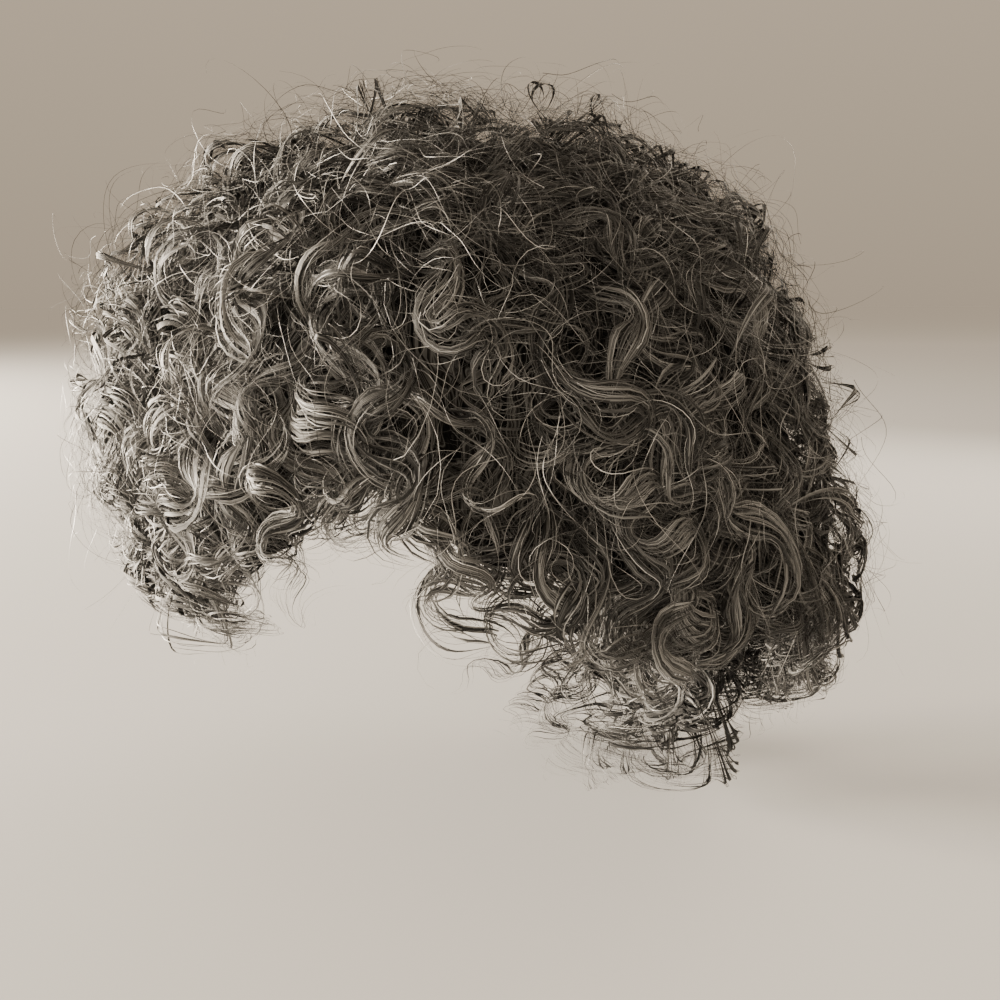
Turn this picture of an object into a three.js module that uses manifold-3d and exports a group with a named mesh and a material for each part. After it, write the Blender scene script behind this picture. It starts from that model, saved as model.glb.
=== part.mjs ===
// A curly wig as it is worn: a hollow cloth cap that carries five groups of curled hair.
// Millimetres, +Z up. The face looks along -Y, and the wearer's left side is +X.
// The origin is the inside of the cap's crown, where the top of the head bears on it.

import * as THREE from "three";
import Module from "manifold-3d";

const wasm = await Module();
wasm.setup();

// The skull that the cap fits, an egg of half axes about a centre below the crown.
const SKULL = { halfWidth: 76, halfLength: 96, crownHeight: 95, napeHeight: 125 };
const CENTRE_Z = -SKULL.crownHeight;
const CAP_WALL = 1.6;
const GAP = 0.4; // between cap and hair, and between neighbouring groups of hair

// The cap's edge from forehead to nape, as its drop below the crown.
const CAP_EDGE = [
  { azimuth: 0, drop: 48 },
  { azimuth: 35, drop: 55 },
  { azimuth: 60, drop: 88 },
  { azimuth: 80, drop: 118 },
  { azimuth: 100, drop: 108 },
  { azimuth: 125, drop: 132 },
  { azimuth: 150, drop: 155 },
  { azimuth: 180, drop: 164 },
];

// The hair's outer form: its distance from the skull's centre at angles down from straight up, and
// how far from the middle its inner side hangs below the cap.
const FORM_ANGLES = [0, 30, 60, 90, 112, 130, 150];
const FORM = [
  { azimuth: 0, at0: 175, at30: 173, at60: 189, at90: 190, at112: 170, at130: 172, at150: 172, inside: 120 },
  { azimuth: 45, at0: 175, at30: 172, at60: 186, at90: 190, at112: 178, at130: 176, at150: 176, inside: 112 },
  { azimuth: 90, at0: 175, at30: 173, at60: 184, at90: 188, at112: 188, at130: 184, at150: 184, inside: 98 },
  { azimuth: 135, at0: 175, at30: 175, at60: 188, at90: 189, at112: 208, at130: 204, at150: 196, inside: 92 },
  { azimuth: 180, at0: 175, at30: 175, at60: 189, at90: 190, at112: 222, at130: 210, at150: 202, inside: 86 },
];

// The hem round the head, as angles down from straight up: cut in over both temples, most of all on
// the left, where the face shows, with the fringe between them, and longest at the nape.
const HEM = [
  { azimuth: 0, angle: 112 },
  { azimuth: 18, angle: 115 },
  { azimuth: 32, angle: 105 },
  { azimuth: 46, angle: 99 },
  { azimuth: 53, angle: 91 },
  { azimuth: 57, angle: 86 },
  { azimuth: 62, angle: 92 },
  { azimuth: 68, angle: 105 },
  { azimuth: 76, angle: 109 },
  { azimuth: 95, angle: 111 },
  { azimuth: 115, angle: 115 },
  { azimuth: 130, angle: 120 },
  { azimuth: 143, angle: 132 },
  { azimuth: 155, angle: 149 },
  { azimuth: 167, angle: 153 },
  { azimuth: 180, angle: 151 },
  { azimuth: 205, angle: 147 },
  { azimuth: 217, angle: 131 },
  { azimuth: 230, angle: 120 },
  { azimuth: 245, angle: 115 },
  { azimuth: 265, angle: 111 },
  { azimuth: 284, angle: 109 },
  { azimuth: 292, angle: 105 },
  { azimuth: 299, angle: 96 },
  { azimuth: 304, angle: 94 },
  { azimuth: 312, angle: 102 },
  { azimuth: 330, angle: 115 },
  { azimuth: 345, angle: 117 },
  { azimuth: 360, angle: 112 },
];
const BODY_INSET = 13; // the fused body of hair lies this far inside the outer form
const BODY_LIFT = 9; // and ends this many degrees above the hem, where the locks hang free

// The groups of hair: one on the crown inside a cone about the skull's centre, and four round it.
const CROWN_ANGLE = 48;
const GROUPS = [
  { name: "fringe_curls", from: -52, to: 52 },
  { name: "left_side_curls", from: 52, to: 124 },
  { name: "back_curls", from: 124, to: 236 },
  { name: "right_side_curls", from: 236, to: 308 },
];

// Rows of locks: how many stand between two azimuths, the angles down from straight up at which they
// start and end (an end past HANGS_FROM hangs to the hem), how far they drift round the head on the
// way, and the half width of the curl.
const LOCK_ROWS = [
  { group: "crown_curls", count: 4, from: 20, to: 380, start: 2, end: 29, drift: 50, curl: 11 },
  { group: "crown_curls", count: 6, from: 0, to: 360, start: 21, end: 47, drift: 16, curl: 11 },
  { group: "fringe_curls", count: 5, from: -50, to: 50, start: 49, end: 88, drift: 3, curl: 14 },
  { group: "fringe_curls", count: 6, from: -51, to: 51, start: 76, end: 180, drift: -3, curl: 12 },
  { group: "left_side_curls", count: 4, from: 54, to: 122, start: 49, end: 90, drift: 4, curl: 14 },
  { group: "left_side_curls", count: 5, from: 54, to: 122, start: 76, end: 180, drift: 3, curl: 12 },
  { group: "right_side_curls", count: 4, from: 238, to: 306, start: 49, end: 90, drift: -4, curl: 14 },
  { group: "right_side_curls", count: 5, from: 238, to: 306, start: 76, end: 180, drift: -3, curl: 12 },
  { group: "back_curls", count: 5, from: 126, to: 234, start: 49, end: 92, drift: 3, curl: 15 },
  { group: "back_curls", count: 5, from: 127, to: 233, start: 82, end: 124, drift: -3, curl: 15 },
  { group: "back_curls", count: 4, from: 145, to: 215, start: 110, end: 180, drift: 3, curl: 14 },
];
const HANGS_FROM = 170;
const CURL_TURNS = 1.25; // along each lock
const CURL_DEPTH = 0.3; // a curl's half depth over its half width
const LOCK_HALF_WIDTH = 14;
const LOCK_HALF_DEPTH = 8;
const LOCK_SIDES = 4;
const LOCK_RINGS = 9;
const GOLDEN_TURN = 0.618; // spreads the locks' phases evenly

const AZIMUTH_STEPS = 36;
const CAP_STEPS = 6;
const FORM_STEPS = 9;
const REACH = 400; // past every part of the hair

const HAIR = new THREE.MeshStandardMaterial({ color: 0x6b645b, roughness: 0.55, metalness: 0 });
const CLOTH = new THREE.MeshStandardMaterial({ color: 0x26231f, roughness: 0.9, metalness: 0 });

const radians = THREE.MathUtils.degToRad;
const lerp = THREE.MathUtils.lerp;
const smoothstep = THREE.MathUtils.smoothstep;

// A smooth curve through the knots, with the slope at each knot taken from its neighbours.
function through(knots, values, at) {
  const last = knots.length - 1;
  const i = Math.min(last, knots.filter((knot) => knot <= at).length) - 1;
  const span = knots[i + 1] - knots[i];
  const slope = (k) => {
    const [low, high] = [Math.max(0, k - 1), Math.min(last, k + 1)];
    return (values[high] - values[low]) / (knots[high] - knots[low]);
  };
  const t = THREE.MathUtils.clamp((at - knots[i]) / span, 0, 1);
  const rise = values[i + 1] - values[i];
  const [start, finish] = [slope(i) * span, slope(i + 1) * span];
  return values[i] + t * (start + t * (3 * rise - 2 * start - finish + t * (start + finish - 2 * rise)));
}

// A table's column at an azimuth. A table that stops at the nape serves both sides of the head.
function atAzimuth(table, column, azimuth) {
  const turned = THREE.MathUtils.euclideanModulo(azimuth, 360);
  const folded = turned > table.at(-1).azimuth ? 360 - turned : turned;
  return through(table.map((row) => row.azimuth), table.map((row) => row[column]), folded);
}

// The direction at an azimuth from the face and an angle down from straight up.
function direction(azimuth, angle) {
  const [a, d] = [radians(azimuth), radians(angle)];
  return new THREE.Vector3(Math.sin(a) * Math.sin(d), -Math.cos(a) * Math.sin(d), Math.cos(d));
}

// A point on the skull's surface, or at an offset outside it.
function skullPoint(azimuth, angle, offset) {
  const height = angle < 90 ? SKULL.crownHeight : SKULL.napeHeight;
  const axes = new THREE.Vector3(SKULL.halfWidth + offset, SKULL.halfLength + offset, height + offset);
  const point = direction(azimuth, angle).multiply(axes);
  point.z += CENTRE_Z;
  return point;
}

// The angle at which the cap ends.
function edgeAngle(azimuth) {
  const height = SKULL.crownHeight - atAzimuth(CAP_EDGE, "drop", azimuth);
  return THREE.MathUtils.radToDeg(Math.acos(height / (height > 0 ? SKULL.crownHeight : SKULL.napeHeight)));
}

// A point on the hair's outer form, or at an inset inside it.
function formPoint(azimuth, angle, inset) {
  const reaches = FORM_ANGLES.map((knot) => atAzimuth(FORM, "at" + knot, azimuth));
  const point = direction(azimuth, angle).multiplyScalar(through(FORM_ANGLES, reaches, angle) - inset);
  point.z += CENTRE_Z;
  return point;
}

// A closed skin over rings of points, drawn together to a point at each end.
// Each quad folds along its shorter diagonal, so that skins a small offset apart stay apart.
function skin(start, rings, end) {
  const around = rings[0].length;
  const points = [start, ...rings.flat(), end];
  const index = [];
  const at = (ring, step) => 1 + ring * around + (step % around);
  for (let step = 0; step < around; step++) {
    index.push(0, at(0, step + 1), at(0, step));
    for (let ring = 0; ring + 1 < rings.length; ring++) {
      const [a, b] = [at(ring, step), at(ring, step + 1)];
      const [c, d] = [at(ring + 1, step), at(ring + 1, step + 1)];
      const leansBack = points[a].distanceTo(points[d]) > points[b].distanceTo(points[c]);
      index.push(...(leansBack ? [a, b, c, b, d, c] : [a, b, d, a, d, c]));
    }
    index.push(at(rings.length - 1, step), at(rings.length - 1, step + 1), points.length - 1);
  }
  const geometry = new THREE.BufferGeometry().setFromPoints(points);
  return geometry.setIndex(index);
}

function ringAt(pointAt) {
  return Array.from({ length: AZIMUTH_STEPS }, (_, step) => pointAt((step * 360) / AZIMUTH_STEPS));
}

function capSurface(offset) {
  return Array.from({ length: CAP_STEPS }, (_, i) =>
    ringAt((azimuth) => skullPoint(azimuth, (edgeAngle(azimuth) * (i + 1)) / CAP_STEPS, offset)),
  );
}

// The cap: a thin dome, open below, cut high over the forehead and low at the nape.
function capGeometry() {
  const inner = capSurface(0);
  const outer = capSurface(CAP_WALL).reverse();
  return skin(skullPoint(0, 0, 0), [...inner, ...outer], skullPoint(0, 0, CAP_WALL));
}

// The fused body of hair: it fits over the cap, hangs below its edge and swells out to the form.
function bodyGeometry() {
  const seat = CAP_WALL + GAP;
  const inner = capSurface(seat);
  const hemAngle = (azimuth) => atAzimuth(HEM, "angle", azimuth) - BODY_LIFT;
  const hemOutside = (azimuth) => formPoint(azimuth, hemAngle(azimuth), BODY_INSET);
  const hemInside = ringAt((azimuth) => {
    const point = direction(azimuth, 90).multiplyScalar(atAzimuth(FORM, "inside", azimuth));
    return point.setZ(hemOutside(azimuth).z);
  });
  const outer = Array.from({ length: FORM_STEPS }, (_, i) =>
    ringAt((azimuth) => formPoint(azimuth, (hemAngle(azimuth) * (FORM_STEPS - i)) / FORM_STEPS, BODY_INSET)),
  );
  return skin(skullPoint(0, 0, seat), [...inner, hemInside, ...outer], formPoint(0, 0, BODY_INSET));
}

// The middle line of a lock: it rises out of the body of hair and runs under the form in curls.
class LockCurve extends THREE.Curve {
  constructor(row, azimuth, phase) {
    super();
    Object.assign(this, { row, azimuth, phase });
    this.end = row.end > HANGS_FROM ? atAzimuth(HEM, "angle", azimuth + row.drift) : row.end;
  }

  getPoint(t, target = new THREE.Vector3()) {
    const { row } = this;
    const azimuth = this.azimuth + row.drift * t;
    const angle = lerp(row.start, this.end, t);
    const rise = smoothstep(t, 0, 0.25);
    const depth = row.curl * CURL_DEPTH + LOCK_HALF_DEPTH;
    const turn = 2 * Math.PI * (CURL_TURNS * t + this.phase);
    const sideways = direction(azimuth + 90, 90).multiplyScalar(row.curl * rise * Math.cos(turn));
    const outward = direction(azimuth, angle).multiplyScalar(row.curl * CURL_DEPTH * rise * Math.sin(turn));
    return target.copy(formPoint(azimuth, angle, lerp(BODY_INSET, depth, rise))).add(sideways).add(outward);
  }
}

// A lock: a flat band along its curve, full in the middle and pointed at both ends.
function lockGeometry(curve) {
  const rings = Array.from({ length: LOCK_RINGS }, (_, i) => {
    const t = (i + 0.5) / LOCK_RINGS;
    const centre = curve.getPoint(t);
    const along = curve.getTangent(t);
    const outward = centre.clone().setZ(centre.z - CENTRE_Z).normalize();
    const across = new THREE.Vector3().crossVectors(outward, along).normalize();
    const upward = new THREE.Vector3().crossVectors(along, across);
    const fullness = Math.sqrt(Math.sin(Math.PI * t));
    return Array.from({ length: LOCK_SIDES }, (_, side) => {
      const turn = (2 * Math.PI * side) / LOCK_SIDES;
      return centre
        .clone()
        .addScaledVector(across, LOCK_HALF_WIDTH * fullness * Math.cos(turn))
        .addScaledVector(upward, LOCK_HALF_DEPTH * fullness * Math.sin(turn));
    });
  });
  return skin(curve.getPoint(0), rings, curve.getPoint(1));
}

// The locks of a row, evenly spaced, with phases that never repeat.
function rowOfLocks(row) {
  const spacing = (row.to - row.from) / row.count;
  return Array.from({ length: row.count }, (_, i) => {
    const azimuth = row.from + (i + 0.5) * spacing - row.drift / 2;
    return new LockCurve(row, azimuth, GOLDEN_TURN * i);
  });
}

function toSolid(geometry) {
  const vertProperties = new Float32Array(geometry.getAttribute("position").array);
  const triVerts = new Uint32Array(geometry.getIndex().array);
  return new wasm.Manifold(new wasm.Mesh({ numProp: 3, vertProperties, triVerts }));
}

function toGeometry(solid) {
  const { vertProperties, triVerts } = solid.getMesh();
  const geometry = new THREE.BufferGeometry();
  geometry.setAttribute("position", new THREE.BufferAttribute(vertProperties, 3));
  return geometry.setIndex(new THREE.BufferAttribute(triVerts, 1));
}

// The room of the crown group: a cone that opens upwards from above the skull's centre.
function crownCone(lift) {
  const apex = new THREE.Vector3(0, 0, CENTRE_Z + lift);
  const top = new THREE.Vector3(0, 0, apex.z + REACH);
  const ring = ringAt((azimuth) => {
    const spread = REACH * Math.tan(radians(CROWN_ANGLE));
    return direction(azimuth, 90).multiplyScalar(spread).setZ(top.z);
  });
  return toSolid(skin(apex, [ring], top));
}

// The part of a solid between two azimuths, half a gap inside each.
function between(solid, from, to) {
  const [first, last] = [direction(from + 90, 90), direction(to - 90, 90)];
  return solid.trimByPlane(first.toArray(), GAP / 2).trimByPlane(last.toArray(), GAP / 2);
}

// The body of hair with a group's own locks fused to it.
function withLocks(name, body) {
  const locks = LOCK_ROWS.filter((row) => row.group === name).flatMap(rowOfLocks);
  return wasm.Manifold.union([body, ...locks.map((curve) => toSolid(lockGeometry(curve)))]);
}

// A solid's main piece, without the crumbs that a cut leaves where a lock crosses it.
function mainPiece(solid) {
  return solid.decompose().reduce((best, piece) => (piece.volume() > best.volume() ? piece : best));
}

function named(name, geometry, material) {
  const mesh = new THREE.Mesh(geometry, material);
  mesh.name = name;
  return mesh;
}

const body = toSolid(bodyGeometry());
const crownRoom = crownCone(GAP);
const crownCut = crownCone(0);
const wig = new THREE.Group();
wig.add(named("cap", capGeometry(), CLOTH));
const crown = withLocks("crown_curls", body).intersect(crownRoom);
wig.add(named("crown_curls", toGeometry(mainPiece(crown)), HAIR));
for (const { name, from, to } of GROUPS) {
  const solid = between(withLocks(name, body).subtract(crownCut), from, to);
  wig.add(named(name, toGeometry(mainPiece(solid)), HAIR));
}

export default wig;
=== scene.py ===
import math

import bmesh
import bpy
import numpy as np
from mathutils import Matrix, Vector


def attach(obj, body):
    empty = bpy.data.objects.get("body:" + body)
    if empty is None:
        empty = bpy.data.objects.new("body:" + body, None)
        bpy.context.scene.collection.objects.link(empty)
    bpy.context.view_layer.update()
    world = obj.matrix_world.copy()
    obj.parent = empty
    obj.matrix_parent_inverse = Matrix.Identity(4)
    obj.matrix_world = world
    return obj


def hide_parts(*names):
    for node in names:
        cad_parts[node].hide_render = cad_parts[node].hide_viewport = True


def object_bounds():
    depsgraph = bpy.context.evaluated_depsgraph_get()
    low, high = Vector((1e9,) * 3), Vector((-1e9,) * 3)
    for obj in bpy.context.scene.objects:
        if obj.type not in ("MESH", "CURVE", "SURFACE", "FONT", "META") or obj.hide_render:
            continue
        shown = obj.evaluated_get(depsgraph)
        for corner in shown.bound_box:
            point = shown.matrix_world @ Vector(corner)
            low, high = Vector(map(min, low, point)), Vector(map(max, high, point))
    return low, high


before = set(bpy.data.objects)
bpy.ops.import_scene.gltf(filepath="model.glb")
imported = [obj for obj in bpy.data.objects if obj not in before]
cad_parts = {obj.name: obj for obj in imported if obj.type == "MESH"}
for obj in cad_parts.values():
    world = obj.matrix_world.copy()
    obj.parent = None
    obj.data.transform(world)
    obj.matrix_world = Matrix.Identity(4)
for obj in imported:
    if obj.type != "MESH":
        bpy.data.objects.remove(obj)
CAD_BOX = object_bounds()
SEED = 11
rng = np.random.default_rng(SEED)
FULL_TURN = 2 * math.pi

# Sizes are in millimetres and angles in degrees, as in the part's source; meshes are in metres.
# Azimuths run from 0 at the face by the wearer's left to 180 at the nape, and an angle is measured
# down from straight up about the skull's centre.
MM = 0.001
SKULL_HALF_WIDTH = 76
SKULL_HALF_LENGTH = 96
SKULL_CROWN_HEIGHT = 95
SKULL_NAPE_HEIGHT = 125
CENTRE = np.array([0, 0, -SKULL_CROWN_HEIGHT])
CAP_WALL = 1.6
CAP_EDGE_AZIMUTHS = [0, 35, 60, 80, 100, 125, 150, 180]
CAP_EDGE_DROPS = [48, 55, 88, 118, 108, 132, 155, 164]

# The hair's outer form: distance from the skull's centre, by azimuth (rows) and angle (columns).
FORM_AZIMUTHS = [0, 45, 90, 135, 180]
FORM_ANGLES = [0, 30, 60, 90, 112, 130, 150]
FORM_REACHES = [
    [176, 180, 197, 193, 172, 172, 172],
    [176, 178, 192, 192, 178, 176, 176],
    [175, 173, 184, 188, 188, 184, 184],
    [176, 173, 180, 178, 202, 205, 198],
    [176, 173, 182, 181, 211, 210, 203],
]
MEAN_REACH = 180
FORM_INSIDES = [120, 112, 98, 92, 86]  # from the middle out to the hair's inner face, by azimuth
LUMP_SIZE = 1.8  # the form's soft unevenness, a sum of waves across the head
LUMP_RATE = 8  # how fast these turn, in radians for each unit of direction
LUMP_WAVES = [(rng.normal(0, LUMP_RATE, 3), rng.uniform(0, FULL_TURN)) for _ in range(6)]
BOX_ROOM = 17  # past the solids' box, hairs bend back within this

# The hem round the head, as azimuth and angle.
HEM = [
    (0, 112), (18, 114), (32, 102), (46, 95), (53, 88), (56, 86), (59, 92), (62, 100), (66, 106),
    (72, 110), (95, 112), (115, 114), (130, 118), (143, 124), (155, 131), (167, 134), (180, 134),
    (205, 132), (217, 125), (230, 119), (245, 115), (265, 111), (284, 109), (292, 105), (299, 96),
    (304, 94), (312, 102), (330, 115), (345, 117), (360, 112),
]
CROWN_ANGLE = 48
NAPE_ANGLE = 100
GROUPS = [  # name, first azimuth, last azimuth
    ("fringe", -52, 52),
    ("left_side", 52, 124),
    ("back", 124, 236),
    ("right_side", 236, 308),
]

# Kinds of curl: share of all locks, length of one wave along the hair, how far the hair swings round
# in each bend (radians), how far the curl stands out over its width, half width of the lock, and how
# far it twists (radians).
CURLS = [
    dict(share=0.44, wave=(58, 84), bend=(0.9, 1.3), lift=0.4, half=(6.0, 9.5), twist=0.35),
    dict(share=0.36, wave=(62, 90), bend=(1.3, 1.65), lift=0.55, half=(5.0, 8.0), twist=0.6),
    dict(share=0.20, wave=(74, 96), bend=(1.5, 1.8), lift=0.7, half=(2.4, 3.8), twist=0.9),
]
RINGLETS = [
    dict(share=0.5, wave=(62, 88), bend=(1.3, 1.75), lift=0.9, half=(1.6, 3.0), twist=0.5),
    dict(share=0.5, wave=(85, 120), bend=(1.2, 1.6), lift=1.0, half=(1.6, 3.0), twist=0.5),
]
NAPE_CURLS = [
    dict(share=0.6, wave=(56, 80), bend=(1.0, 1.4), lift=1.0, half=(3.5, 6.5), twist=0.5),
    dict(share=0.4, wave=(56, 76), bend=(1.3, 1.7), lift=1.1, half=(2.0, 4.0), twist=0.6),
]

# Layers of locks: depth under the outer form, span along it, how many strands, hairs and stray hairs
# a lock holds, how pale they are, the step between points along them, on average, and how far the
# circle that they follow is dropped below the form's own.
OUTER = dict(
    depths=(-4, 14), span=(75, 135), strands=8, hairs=7, strays=2, paleness=(0.15, 0.85), step=4.5,
    drop=0, curls=CURLS,
)
CROWN = dict(OUTER, depths=(0, 14), span=(50, 90), strands=6, hairs=9)
DEEP = dict(OUTER, depths=(9, 17), strands=5, hairs=2, strays=0, paleness=(0.1, 0.4), step=6.0)
# inner locks painted dark, as the shadow of a head inside the wig
INNER = dict(OUTER, depths=(18, 34), strands=5, hairs=5, strays=0, paleness=(0, 0.25), step=5.5)
# nape locks painted darker still, as the same shadow
NAPE = dict(
    OUTER, depths=(56, 92), span=(70, 98), strands=7, hairs=8, paleness=(-0.3, 0.2), drop=85,
    curls=NAPE_CURLS,
)
THIN = dict(
    OUTER, depths=(-13, 2), span=(50, 100), strands=2, hairs=6, strays=1, step=4.0, curls=RINGLETS,
)

# Where the locks grow, and the spread of their leans from straight down, in radians.
LOCK_SITES = 478  # even over the head and below it, of which those above the hem carry a lock
DEEP_SITES = 190
DEEP_TURNED = 60  # round from the sites of the outer locks
THIN_SITES = 210
THIN_TURNED = 200
LOWEST_SITE = 146
SITE_LIFT = 14  # from the hem up to the lowest sites
SITE_SPREAD = 4
LEAN_BACK = 20  # how far the side locks lean to the back
SITE_LEAN = 18  # spread of the leans of the outer locks, in degrees
SITE_CROWN_LEAN = 30  # how much more it is at the crown
SITE_CROWN_ANGLE = 40
LEANS = dict(crown=1.2, deep=0.5, thin=0.8, hem=0.3, nape=0.2, inner=0.4, fill=0.2)
CROWN_LOCKS = 60  # every way over the crown
CROWN_LOCKS_ANGLE = 34
HEM_LOCKS = 92
HEM_LIFT = (13, 24)  # from the hem up to their roots
NAPE_LOCKS = 46  # hanging free over the nape, from inside the hair
NAPE_AZIMUTHS = (138, 222)
NAPE_ROOTS = (84, 100)
INNER_LOCKS = 24  # hanging inside the hem
INNER_LIFT = (20, 36)
FILL_SITES = [  # azimuth and angle of a few more locks, over what the others leave bare
    (222, 6), (240, 9), (258, 15), (285, 19), (84, 28), (277, 42), (357, 66), (75, 54), (186, 62),
]

# How pale the hair is, as a share of the most: little at the crown, painted darker there as shade
# over the top, all of it round the sides, and less than none low at the nape, painted darkest there
# as the shadow of a head inside the wig.
CROWN_SHADE_PALENESS = 0.2
CROWN_SHADE_ANGLES = (25, 80)
NAPE_SHADOW_PALENESS = -0.6
NAPE_SHADOW_ANGLES = (95, 140)

# The shape of a lock and of the hairs in it. A taper is where it starts along the hair, and its depth.
LONGEST_HAIR = 190
HEM_PASSED = (12, 7)  # how far a lock may run past the hem: mean and spread
FEWEST_STEPS = 14
USUAL_BEND = 1.2  # with which a layer's step is as stated
CURL_SUNK = 0.75  # share of a curl's standing that goes below the layer's depth
ROOT_SUNK = 4  # from the face of the under-hair in to the roots
VEER = 0.3  # spread of how far a lock turns aside, in radians
FLICK = 3  # spread of how far its tip stands off
GROUP_ARC = 0.3  # radians along a lock to the place that says which group it is in
WAVE_SHORTENED = 0.12  # towards the tip
LOCK_ROUND = 0.3  # how far a lock is crowned, over its half width
END_WIDTH = 0.35  # of a lock at its root and tip, over its full width
PINCH = 0.5  # how much narrower a lock is in its bends
PARTING = 0.16  # between the thirds of a lock, in radians of its wave
PARTINGS = (0.4, 1.5)  # times the parting
JITTER = dict(length=0.28, wave=0.018, bend=0.05, phase=0.11, layer=0.7, ripple=1.2, tilt=0.35)
PLACE_JITTER = 0.6  # of the room between two hairs, across a lock
RIPPLE_WAVE = 36  # of a single hair, beside its lock's waves
FINE = 4  # fine steps for each step that is kept
STRAND_SPREAD = 0.9  # of the strands across a lock
STRAND_LOOSENESS = 0.7
STRAND_OVERLAP = 1.5
STRAND_WIDEST = 1.2  # half width, at the most
STRAND_WIDTHS = (0.35, 1.3)
STRAND_TAPER = (0.55, 0.85)
HAIR_RAISED = 0.6  # over the strands
HAIR_HALF_WIDTH = 0.15
HAIR_WIDTHS = (0.65, 1.25)
HAIR_TAPER = (0.65, 0.8)
STRAY_SPREAD = 2.2
STRAY_HALF_WIDTH = 0.105
STRAY_PALENESS = 0.8

# Tones are places along the ramp of hair colours: mean, how much a paler lock adds, and spread.
STRAND_TONE = (0.33, 0.24, 0.065)
GREY_TONE = (0.36, 0.26, 0.1)
PALE_TONE = (0.72, 0, 0.07)
LINING_TONE = (0.26, 0, 0.1)
PALE_SHARE = (0.08, 0.24)  # of single hairs in a dark lock, and how much a paler lock adds
STRAND_TONES = (0.1, 0.9)  # least and most
HAIR_TONES = (0.05, 0.95)

# Loose hairs: how many, depths under the outer form, lengths, how far a curl stands out over its
# width, how far the tips stand off, half width, points along each, and how pale they are.
WEB = dict(  # between the locks
    count=4200, depths=(-4, 14), lengths=(30, 70), lift=0.4, stand=2, half_width=0.08, steps=14,
    paleness=0.45,
)
FRIZZ = dict(  # off the outer form
    count=2200, depths=(-10, 4), lengths=(35, 80), lift=0.7, stand=7, half_width=0.11, steps=18,
    paleness=0.6,
)
FLYAWAYS = dict(  # long, and furthest off
    count=220, depths=(-22, -4), lengths=(60, 120), lift=1.3, stand=10, half_width=0.12, steps=30,
    paleness=0.4,
)
LOOSE_LIFT = 20  # from the hem up to the lowest roots
LOOSE_EVERY_WAY = 35  # from the hem up to where they run every way
LOOSE_LEAN = 0.6
LOOSE_PASSED = 3  # how far they may run past the hem
LOOSE_WAVE = (60, 130)
LOOSE_BEND = (0.4, 1.3)
LOOSE_VEER = 0.6
LOOSE_TWIST = 0.3
LOOSE_TILT = (-1.2, 1.2)
LOOSE_WIDTHS = (0.7, 1.2)
LOOSE_TAPER = (0.6, 0.7)

# The hair under the locks, painted near black as the shade deep in the hair, and the wavy hair
# over its inner face and underside.
SKIN_STEP = 4.0  # round the head, between points of this hair and of the cap
SKIN_ROWS = 20  # from the crown to the cap's edge
UNDER_ROWS = 40  # from the hem to the crown
UNDER_GAP = 0.4  # from the cap
UNDER_INSET = 23  # from the outer form
UNDER_LIFT_AZIMUTHS = [0, 110, 150, 180]
UNDER_LIFTS = [10, 10, 8, 8]  # from the hem up to the end of the under-hair
LINING_STRANDS = 800
LINING_STRAND_HALF_WIDTH = 0.8
LINING_HAIRS = 400
LINING_STEPS = 15
LINING_LENGTHS = (0.7, 1.0)  # over the whole way from the cap's edge to the hem
LINING_SECTORS = 60  # round the head, each with waves of its own
LINING_PHASE = 0.35
LINING_WAVE = 46
LINING_RISE = 12  # along a hair until it has its full swing
LINING_SWING = 6
LINING_SWINGS = (0.5, 1.3)
LINING_STANDS = (0.5, 3.5)
LINING_DOWNWARD = 0.3  # how far the hair on the inner face stands down as well as in
LINING_DROOP = (6, 26)  # of its tips, where the underside is wide
LINING_WIDE = 40
LINING_TILT = 0.5
LINING_WIDTHS = (0.4, 1.2)
LINING_TAPER = (0.7, 0.8)


def through(knots, values, at):
    """A smooth curve through the knots, with the slope at each knot taken from its neighbours."""
    knots, values = np.asarray(knots, float), np.asarray(values, float)
    at = np.asarray(at, float)
    i = np.clip(np.searchsorted(knots, at, side="right") - 1, 0, len(knots) - 2)
    low = np.maximum(np.arange(len(knots)) - 1, 0)
    high = np.minimum(np.arange(len(knots)) + 1, len(knots) - 1)
    slope = (values[high] - values[low]) / (knots[high] - knots[low])
    span = knots[i + 1] - knots[i]
    t = np.clip((at - knots[i]) / span, 0, 1)
    rise = values[i + 1] - values[i]
    start, finish = slope[i] * span, slope[i + 1] * span
    square = 3 * rise - 2 * start - finish
    cube = start + finish - 2 * rise
    return values[i] + t * (start + t * (square + t * cube))


def folded(azimuth):
    """An azimuth on either side of the head as one from 0 at the face to 180 at the nape."""
    turned = np.mod(azimuth, 360)
    return np.where(turned > 180, 360 - turned, turned)


GRID_STEP = 3
GRID = np.arange(0, 181, GRID_STEP)
AT_ANGLES = np.array([through(FORM_AZIMUTHS, column, GRID) for column in np.transpose(FORM_REACHES)])
REACH_GRID = np.array([through(FORM_ANGLES, row, GRID) for row in AT_ANGLES.T])


def azimuth_angle(directions):
    azimuth = np.degrees(np.arctan2(directions[..., 0], -directions[..., 1]))
    angle = np.degrees(np.arccos(np.clip(directions[..., 2], -1, 1)))
    return azimuth, angle


def reach(directions):
    """How far the form stands from the skull's centre along unit directions."""
    azimuth, angle = azimuth_angle(directions)
    a, d = folded(azimuth) / GRID_STEP, angle / GRID_STEP
    i = np.clip(a.astype(int), 0, len(GRID) - 2)
    j = np.clip(d.astype(int), 0, len(GRID) - 2)
    p, q = a - i, d - j
    near = REACH_GRID[i, j] * (1 - q) + REACH_GRID[i, j + 1] * q
    far = REACH_GRID[i + 1, j] * (1 - q) + REACH_GRID[i + 1, j + 1] * q
    lump = LUMP_SIZE * sum(np.sin(directions @ wave + phase) for wave, phase in LUMP_WAVES)
    return near * (1 - p) + far * p + lump


def hem_angle(azimuth):
    azimuths, angles = zip(*HEM)
    return through(azimuths, angles, np.mod(azimuth, 360))


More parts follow.
